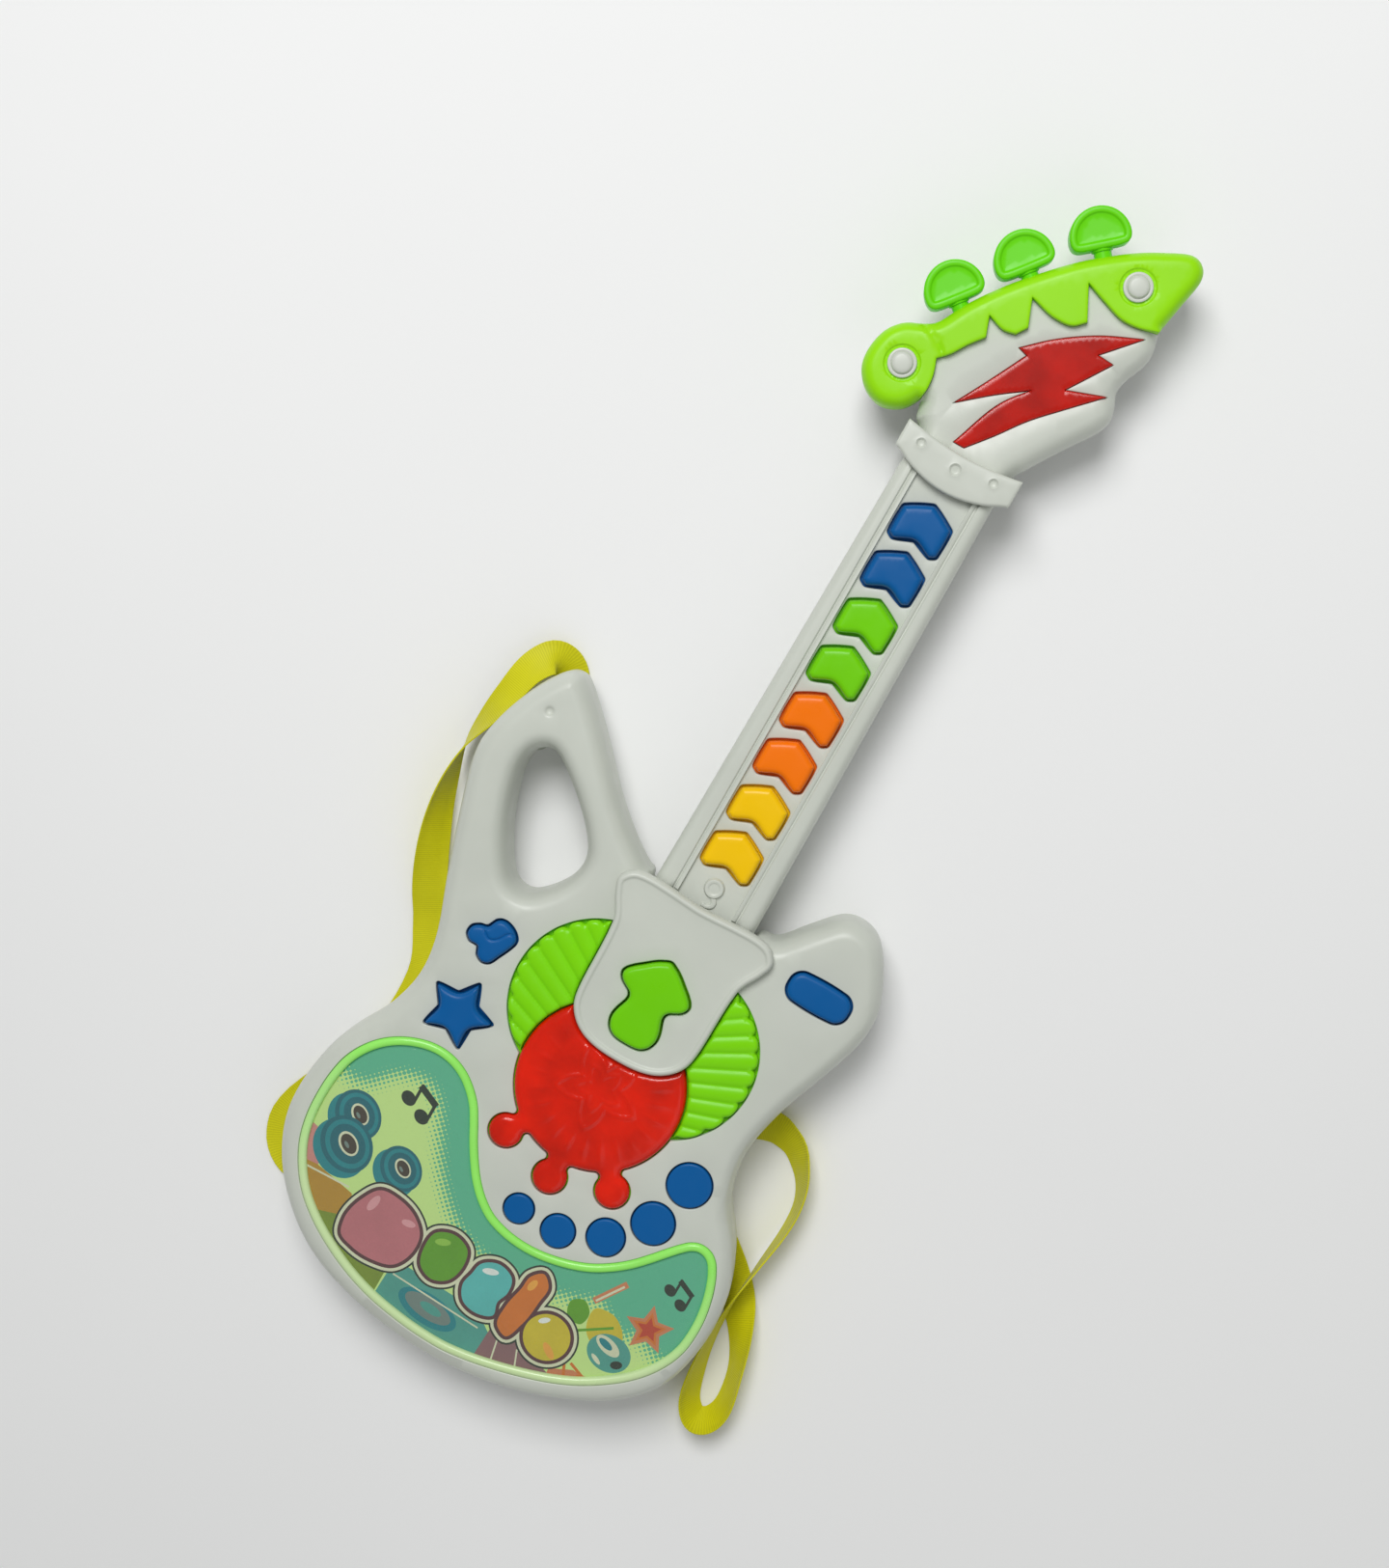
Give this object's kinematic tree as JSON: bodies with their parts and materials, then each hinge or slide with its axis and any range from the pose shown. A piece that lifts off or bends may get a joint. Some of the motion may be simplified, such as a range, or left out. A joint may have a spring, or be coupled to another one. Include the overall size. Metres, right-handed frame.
{
  "type": "toy electric guitar",
  "caption": "Children's toy electric guitar with light-up lenses, sound keys on the neck, body buttons, turning pegs and a ribbon strap.",
  "frame": {"origin": "on the plane of the feet at the back, on the neck's centre line under the centre of the round lens", "axes": "+Z out of the front, +Y along the neck towards the head, +X to the right seen from the front"},
  "size_m": [0.2057, 0.4676, 0.0384],
  "materials": {
    "white_plastic": "satin moulded ABS, slightly warm white",
    "lime_plastic": "satin moulded ABS, lime",
    "green_plastic": "satin moulded ABS, green",
    "blue_plastic": "satin moulded ABS, deep blue",
    "orange_plastic": "satin moulded ABS, orange",
    "yellow_plastic": "satin moulded ABS, golden yellow",
    "red_lens": "tinted clear polystyrene, polished",
    "picture_print": "offset print in several colours",
    "clear_cover": "clear polished cover",
    "circuit_board": "fibreglass board, solder mask",
    "silicone": "matt silicone rubber",
    "diode": "clear epoxy",
    "dark_plastic": "textured",
    "speaker_paper": "pressed paper",
    "steel": "zinc-plated",
    "battery": "wrapped metal can",
    "wire": "insulated",
    "ribbon": "woven satin ribbon"
  },
  "bodies": {
    "guitar": {"front_shell": "white_plastic", "back_shell": "white_plastic", "neck_front": "white_plastic", "neck_back": "white_plastic", "head_front": "white_plastic", "head_back": "white_plastic", "head_crest": "lime_plastic", "crest_studs": "white_plastic", "collar": "white_plastic", "bolt_lens": "red_lens", "neck_plate": "white_plastic", "wing_disc": "lime_plastic", "splash_lens": "red_lens", "art_panel": "picture_print", "panel_rim": "lime_plastic", "panel_cover": "clear_cover", "main_board": "circuit_board", "horn_board": "circuit_board", "neck_board": "circuit_board", "bolt_board": "circuit_board", "button_mat": "silicone", "horn_mat": "silicone", "key_mat": "silicone", "leds": "diode", "speaker_frame": "dark_plastic", "speaker_cone": "speaker_paper", "speaker_magnet": "steel", "battery_tray": "white_plastic", "batteries": "battery", "battery_contacts": "steel", "case_screws": "steel", "neck_screws": "steel", "tenon_screws": "steel", "wiring": "wire", "strap": "ribbon", "strap_clips": "dark_plastic"},
    "key_1_body": {"key_1": "blue_plastic"},
    "key_2_body": {"key_2": "blue_plastic"},
    "key_3_body": {"key_3": "green_plastic"},
    "key_4_body": {"key_4": "green_plastic"},
    "key_5_body": {"key_5": "orange_plastic"},
    "key_6_body": {"key_6": "orange_plastic"},
    "key_7_body": {"key_7": "yellow_plastic"},
    "key_8_body": {"key_8": "yellow_plastic"},
    "note_button_body": {"note_button": "blue_plastic"},
    "star_button_body": {"star_button": "blue_plastic"},
    "arrow_button_body": {"arrow_button": "green_plastic"},
    "pill_button_body": {"pill_button": "blue_plastic"},
    "dot_1_body": {"dot_1": "blue_plastic"},
    "dot_2_body": {"dot_2": "blue_plastic"},
    "dot_3_body": {"dot_3": "blue_plastic"},
    "dot_4_body": {"dot_4": "blue_plastic"},
    "dot_5_body": {"dot_5": "blue_plastic"},
    "peg_1_body": {"peg_1": "green_plastic"},
    "peg_2_body": {"peg_2": "green_plastic"},
    "peg_3_body": {"peg_3": "green_plastic"},
    "switch_body": {"power_switch": "dark_plastic"},
    "door_body": {"battery_door": "white_plastic", "door_screw": "steel"}
  },
  "joints": [
    {"name": "key_1_press", "type": "slide", "parent": "guitar", "child": "key_1_body", "axis": [0, 0, -1], "range_m": [0, 0.0015], "stiffness_N_per_m": 300, "springref_m": -0.0005},
    {"name": "key_2_press", "type": "slide", "parent": "guitar", "child": "key_2_body", "axis": [0, 0, -1], "range_m": [0, 0.0015], "stiffness_N_per_m": 300, "springref_m": -0.0005},
    {"name": "key_3_press", "type": "slide", "parent": "guitar", "child": "key_3_body", "axis": [0, 0, -1], "range_m": [0, 0.0015], "stiffness_N_per_m": 300, "springref_m": -0.0005},
    {"name": "key_4_press", "type": "slide", "parent": "guitar", "child": "key_4_body", "axis": [0, 0, -1], "range_m": [0, 0.0015], "stiffness_N_per_m": 300, "springref_m": -0.0005},
    {"name": "key_5_press", "type": "slide", "parent": "guitar", "child": "key_5_body", "axis": [0, 0, -1], "range_m": [0, 0.0015], "stiffness_N_per_m": 300, "springref_m": -0.0005},
    {"name": "key_6_press", "type": "slide", "parent": "guitar", "child": "key_6_body", "axis": [0, 0, -1], "range_m": [0, 0.0015], "stiffness_N_per_m": 300, "springref_m": -0.0005},
    {"name": "key_7_press", "type": "slide", "parent": "guitar", "child": "key_7_body", "axis": [0, 0, -1], "range_m": [0, 0.0015], "stiffness_N_per_m": 300, "springref_m": -0.0005},
    {"name": "key_8_press", "type": "slide", "parent": "guitar", "child": "key_8_body", "axis": [0, 0, -1], "range_m": [0, 0.0015], "stiffness_N_per_m": 300, "springref_m": -0.0005},
    {"name": "note_button_press", "type": "slide", "parent": "guitar", "child": "note_button_body", "axis": [0, 0, -1], "range_m": [0, 0.0015], "stiffness_N_per_m": 300, "springref_m": -0.0005},
    {"name": "star_button_press", "type": "slide", "parent": "guitar", "child": "star_button_body", "axis": [0, 0, -1], "range_m": [0, 0.0015], "stiffness_N_per_m": 300, "springref_m": -0.0005},
    {"name": "arrow_button_press", "type": "slide", "parent": "guitar", "child": "arrow_button_body", "axis": [0, 0, -1], "range_m": [0, 0.0015], "stiffness_N_per_m": 300, "springref_m": -0.0005},
    {"name": "pill_button_press", "type": "slide", "parent": "guitar", "child": "pill_button_body", "axis": [0, 0, -1], "range_m": [0, 0.0015], "stiffness_N_per_m": 300, "springref_m": -0.0005},
    {"name": "dot_1_press", "type": "slide", "parent": "guitar", "child": "dot_1_body", "axis": [0, 0, -1], "range_m": [0, 0.0015], "stiffness_N_per_m": 300, "springref_m": -0.0005},
    {"name": "dot_2_press", "type": "slide", "parent": "guitar", "child": "dot_2_body", "axis": [0, 0, -1], "range_m": [0, 0.0015], "stiffness_N_per_m": 300, "springref_m": -0.0005},
    {"name": "dot_3_press", "type": "slide", "parent": "guitar", "child": "dot_3_body", "axis": [0, 0, -1], "range_m": [0, 0.0015], "stiffness_N_per_m": 300, "springref_m": -0.0005},
    {"name": "dot_4_press", "type": "slide", "parent": "guitar", "child": "dot_4_body", "axis": [0, 0, -1], "range_m": [0, 0.0015], "stiffness_N_per_m": 300, "springref_m": -0.0005},
    {"name": "dot_5_press", "type": "slide", "parent": "guitar", "child": "dot_5_body", "axis": [0, 0, -1], "range_m": [0, 0.0015], "stiffness_N_per_m": 300, "springref_m": -0.0005},
    {"name": "peg_1_turn", "type": "hinge", "parent": "guitar", "child": "peg_1_body", "pos_m": [0.0058, 0.3344, 0.0265], "axis": [-0.6494, 0.7604, 0], "continuous": true},
    {"name": "peg_2_turn", "type": "hinge", "parent": "guitar", "child": "peg_2_body", "pos_m": [-0.0119, 0.3162, 0.0265], "axis": [-0.7771, 0.6293, 0], "continuous": true},
    {"name": "peg_3_turn", "type": "hinge", "parent": "guitar", "child": "peg_3_body", "pos_m": [-0.0273, 0.2963, 0.0265], "axis": [-0.7826, 0.6225, 0], "continuous": true},
    {"name": "power_slide", "type": "slide", "parent": "guitar", "child": "switch_body", "axis": [1, 0, 0], "range_m": [0, 0.004]},
    {"name": "door_swing", "type": "hinge", "parent": "guitar", "child": "door_body", "pos_m": [-0.002, -0.059, 0.0024], "axis": [1, 0, 0], "range_deg": [0, 80]}
  ]
}
